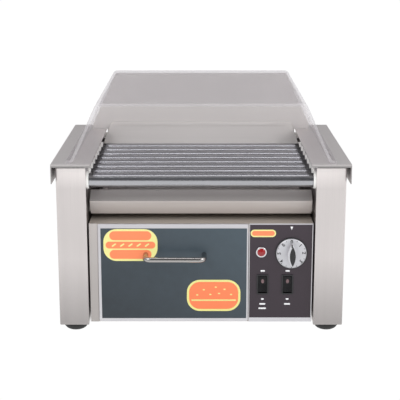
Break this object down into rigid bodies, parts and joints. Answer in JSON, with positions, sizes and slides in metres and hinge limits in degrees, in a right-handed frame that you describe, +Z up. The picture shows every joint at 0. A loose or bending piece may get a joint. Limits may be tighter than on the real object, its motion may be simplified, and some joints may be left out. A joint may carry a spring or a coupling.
{
  "type": "hot dog roller grill",
  "caption": "Counter-top roller grill with turning heated tubes under a clear arched guard, a drip tray and a warming drawer with controls beside it.",
  "frame": {"origin": "centre of the bounding box, at the surface that the feet stand on", "axes": "+X to the right seen from the front, along the rollers; +Y towards the back; +Z up"},
  "size_m": [0.532, 0.447, 0.439],
  "materials": {
    "stainless": "brushed stainless sheet",
    "roller_chrome": "polished chrome tube",
    "handle_wire": "dark polished wire",
    "bezel_chrome": "polished",
    "plated_steel": "zinc plated",
    "chain_steel": "oiled steel",
    "heater_sheath": "heat-darkened sheath",
    "motor_paint": "satin paint",
    "rubber": "matte",
    "white_plastic": "satin fluoropolymer",
    "black_plastic": "satin moulded",
    "knob_silver": "satin with printed scale",
    "pilot_red": "translucent gloss",
    "teal_print": "printed film",
    "plum_print": "printed film",
    "clear_acrylic": "clear gloss",
    "smoked_acrylic": "lightly smoked gloss"
  },
  "bodies": {
    "root": {"rubber_feet": "rubber", "case_screws": "plated_steel", "left_housing": "stainless", "right_housing": "stainless", "housing_backs": "stainless", "bearing_plates": "stainless", "ledge_caps": "stainless", "rear_panel": "stainless", "back_plate": "stainless", "cord_bushing": "black_plastic", "roller_seals": "white_plastic", "roller_bearings": "white_plastic", "roller_heaters": "heater_sheath", "heater_retainers": "plated_steel", "drive_chain": "chain_steel", "drive_motor": "motor_paint", "cabinet_shell": "stainless", "drawer_bay_sides": "stainless", "control_panel": "stainless", "control_overlay": "plum_print", "drawer_heater": "heater_sheath", "slides_fixed": "plated_steel", "heat_control": "black_plastic", "pilot_bezel": "bezel_chrome", "pilot_lens": "pilot_red", "switch_housings": "black_plastic", "terminal_block": "black_plastic", "tray_runners": "stainless"},
    "motor_output": {"motor_shaft": "plated_steel", "motor_sprocket": "chain_steel"},
    "drawer": {"drawer_box": "stainless", "drawer_front": "stainless", "drawer_label": "teal_print", "drawer_handle": "handle_wire", "slides_moving": "plated_steel"},
    "slide_middles": {"slides_middle": "plated_steel"},
    "drip_tray": {"drip_tray": "stainless"},
    "guard": {"guard_panel": "clear_acrylic", "guard_rear_panel": "smoked_acrylic"},
    "heat_knob": {"knob_dial": "knob_silver", "knob_grip": "knob_silver", "control_shaft": "plated_steel"},
    "left_rocker": {"left_rocker": "black_plastic"},
    "right_rocker": {"right_rocker": "black_plastic"},
    "roller_1": {"roller_1": "roller_chrome", "sprocket_1": "chain_steel"},
    "roller_2": {"roller_2": "roller_chrome", "sprocket_2": "chain_steel"},
    "roller_3": {"roller_3": "roller_chrome", "sprocket_3": "chain_steel"},
    "roller_4": {"roller_4": "roller_chrome", "sprocket_4": "chain_steel"},
    "roller_5": {"roller_5": "roller_chrome", "sprocket_5": "chain_steel"},
    "roller_6": {"roller_6": "roller_chrome", "sprocket_6": "chain_steel"},
    "roller_7": {"roller_7": "roller_chrome", "sprocket_7": "chain_steel"},
    "roller_8": {"roller_8": "roller_chrome", "sprocket_8": "chain_steel"}
  },
  "joints": [
    {"name": "roller_1_spin", "type": "hinge", "parent": "root", "child": "roller_1", "pos_m": [0, -0.1675, 0.282], "axis": [1, 0, 0], "continuous": true},
    {"name": "roller_2_spin", "type": "hinge", "parent": "root", "child": "roller_2", "pos_m": [0, -0.1245, 0.2815], "axis": [1, 0, 0], "continuous": true},
    {"name": "roller_3_spin", "type": "hinge", "parent": "root", "child": "roller_3", "pos_m": [0, -0.0815, 0.281], "axis": [1, 0, 0], "continuous": true},
    {"name": "roller_4_spin", "type": "hinge", "parent": "root", "child": "roller_4", "pos_m": [0, -0.0385, 0.2805], "axis": [1, 0, 0], "continuous": true},
    {"name": "roller_5_spin", "type": "hinge", "parent": "root", "child": "roller_5", "pos_m": [0, 0.0045, 0.28], "axis": [1, 0, 0], "continuous": true},
    {"name": "roller_6_spin", "type": "hinge", "parent": "root", "child": "roller_6", "pos_m": [0, 0.0475, 0.2795], "axis": [1, 0, 0], "continuous": true},
    {"name": "roller_7_spin", "type": "hinge", "parent": "root", "child": "roller_7", "pos_m": [0, 0.0905, 0.279], "axis": [1, 0, 0], "continuous": true},
    {"name": "roller_8_spin", "type": "hinge", "parent": "root", "child": "roller_8", "pos_m": [0, 0.1335, 0.2785], "axis": [1, 0, 0], "continuous": true},
    {"name": "motor_spin", "type": "hinge", "parent": "root", "child": "motor_output", "pos_m": [-0.232, -0.017, 0.2], "axis": [1, 0, 0], "continuous": true},
    {"name": "drawer_slide", "type": "slide", "parent": "root", "child": "drawer", "axis": [0, -1, 0], "range_m": [0, 0.3]},
    {"name": "slide_middles_slide", "type": "slide", "parent": "root", "child": "slide_middles", "axis": [0, -1, 0], "range_m": [0, 0.15]},
    {"name": "drip_tray_slide", "type": "slide", "parent": "root", "child": "drip_tray", "axis": [0, -1, 0], "range_m": [0, 0.3]},
    {"name": "guard_lift", "type": "slide", "parent": "root", "child": "guard", "axis": [0, 0, 1], "range_m": [0, 0.15]},
    {"name": "heat_knob_turn", "type": "hinge", "parent": "root", "child": "heat_knob", "pos_m": [0.164, -0.1895, 0.149], "axis": [0, -1, 0], "range_deg": [0, 310]},
    {"name": "left_rocker_tip", "type": "hinge", "parent": "root", "child": "left_rocker", "pos_m": [0.1125, -0.1775, 0.0894], "axis": [1, 0, 0], "range_deg": [0, 20]},
    {"name": "right_rocker_tip", "type": "hinge", "parent": "root", "child": "right_rocker", "pos_m": [0.158, -0.1775, 0.0894], "axis": [1, 0, 0], "range_deg": [0, 20]}
  ],
  "couplings": [
    {"joint": "roller_2_spin", "follows": "roller_1_spin", "ratio": 1},
    {"joint": "roller_3_spin", "follows": "roller_1_spin", "ratio": 1},
    {"joint": "roller_4_spin", "follows": "roller_1_spin", "ratio": 1},
    {"joint": "roller_5_spin", "follows": "roller_1_spin", "ratio": 1},
    {"joint": "roller_6_spin", "follows": "roller_1_spin", "ratio": 1},
    {"joint": "roller_7_spin", "follows": "roller_1_spin", "ratio": 1},
    {"joint": "roller_8_spin", "follows": "roller_1_spin", "ratio": 1},
    {"joint": "motor_spin", "follows": "roller_1_spin", "ratio": 1.3333},
    {"joint": "slide_middles_slide", "follows": "drawer_slide", "ratio": 0.5}
  ]
}
